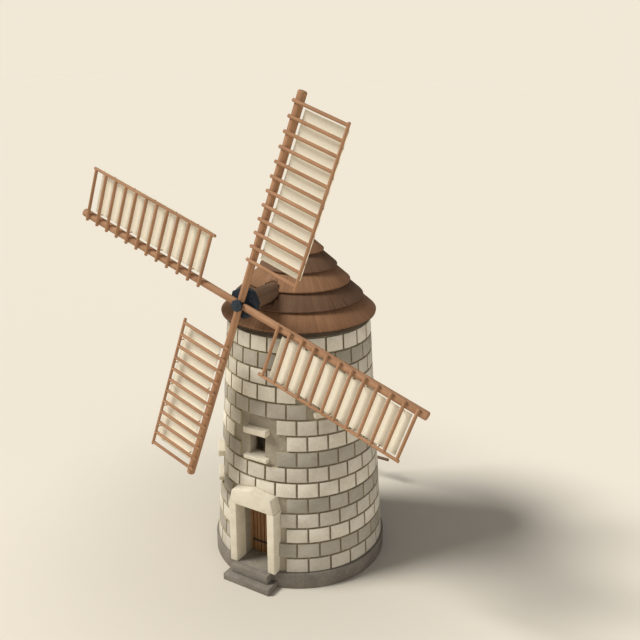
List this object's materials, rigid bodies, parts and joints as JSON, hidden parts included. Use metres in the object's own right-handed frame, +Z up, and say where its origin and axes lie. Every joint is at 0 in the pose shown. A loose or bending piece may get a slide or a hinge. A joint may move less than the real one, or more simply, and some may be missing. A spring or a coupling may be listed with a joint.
{
  "type": "traditional windmill",
  "caption": "Round stone tower mill on a plinth, with a gabled stone doorway, a boarded conical cap that turns to the wind, and lattice sails spread with canvas.",
  "frame": {"origin": "centre of the round plinth on the ground, the bottom face of the building", "axes": "+Z up along the tower's axis; -Y is the front, where the doorway and the sails face; +X is to the right seen from the front"},
  "size_m": [11.292, 7.9925, 14.6354],
  "materials": {
    "wall_stone": "rough",
    "dressed_stone": "matte",
    "plinth_stone": "rough",
    "plank": "matte",
    "glass": "clear",
    "iron": "satin",
    "roof_board": "matte",
    "dark_timber": "matte",
    "sail_timber": "matte",
    "canvas": "woven"
  },
  "bodies": {
    "tower": {"plinth": "plinth_stone", "wall_lower_right": "wall_stone", "wall_lower_back": "wall_stone", "wall_lower_left": "wall_stone", "wall_over_door": "wall_stone", "wall_middle_front": "wall_stone", "wall_middle_back": "wall_stone", "wall_upper_front": "wall_stone", "wall_upper_back": "wall_stone", "door_jambs": "dressed_stone", "door_lintel": "dressed_stone", "step_lower": "plinth_stone", "step_upper": "plinth_stone", "window_lintels": "dressed_stone", "window_sills": "dressed_stone", "window_frames": "plank", "window_panes": "glass", "door_pintles": "iron"},
    "door": {"door_leaf": "plank", "door_ironwork": "iron"},
    "cap": {"cap_curb": "dark_timber", "roof_ring_1": "roof_board", "roof_ring_2": "roof_board", "roof_ring_3": "roof_board", "roof_ring_4": "roof_board", "roof_ring_5": "roof_board", "roof_peak": "roof_board", "shaft_bearings": "dark_timber", "tail_beam": "dark_timber", "tail_pole": "dark_timber", "push_bar": "dark_timber"},
    "rotor": {"windshaft": "dark_timber", "hub_iron": "iron", "sail_arm_1": "sail_timber", "sail_arm_2": "sail_timber", "sail_arm_3": "sail_timber", "sail_arm_4": "sail_timber", "sail_lattice_1": "sail_timber", "sail_lattice_2": "sail_timber", "sail_lattice_3": "sail_timber", "sail_lattice_4": "sail_timber", "sail_cloth_1": "canvas", "sail_cloth_2": "canvas", "sail_cloth_3": "canvas", "sail_cloth_4": "canvas"}
  },
  "joints": [
    {"name": "cap_turn", "type": "hinge", "parent": "tower", "child": "cap", "pos_m": [0, 0, 7.87], "axis": [0, 0, 1], "continuous": true},
    {"name": "sail_spin", "type": "hinge", "parent": "cap", "child": "rotor", "pos_m": [0, -2.972, 8.99], "axis": [0, 0.9997, -0.0262], "continuous": true},
    {"name": "door_swing", "type": "hinge", "parent": "tower", "child": "door", "pos_m": [-0.618, -1.93, 0.51], "axis": [0, 0, 1], "range_deg": [0, 100]}
  ]
}
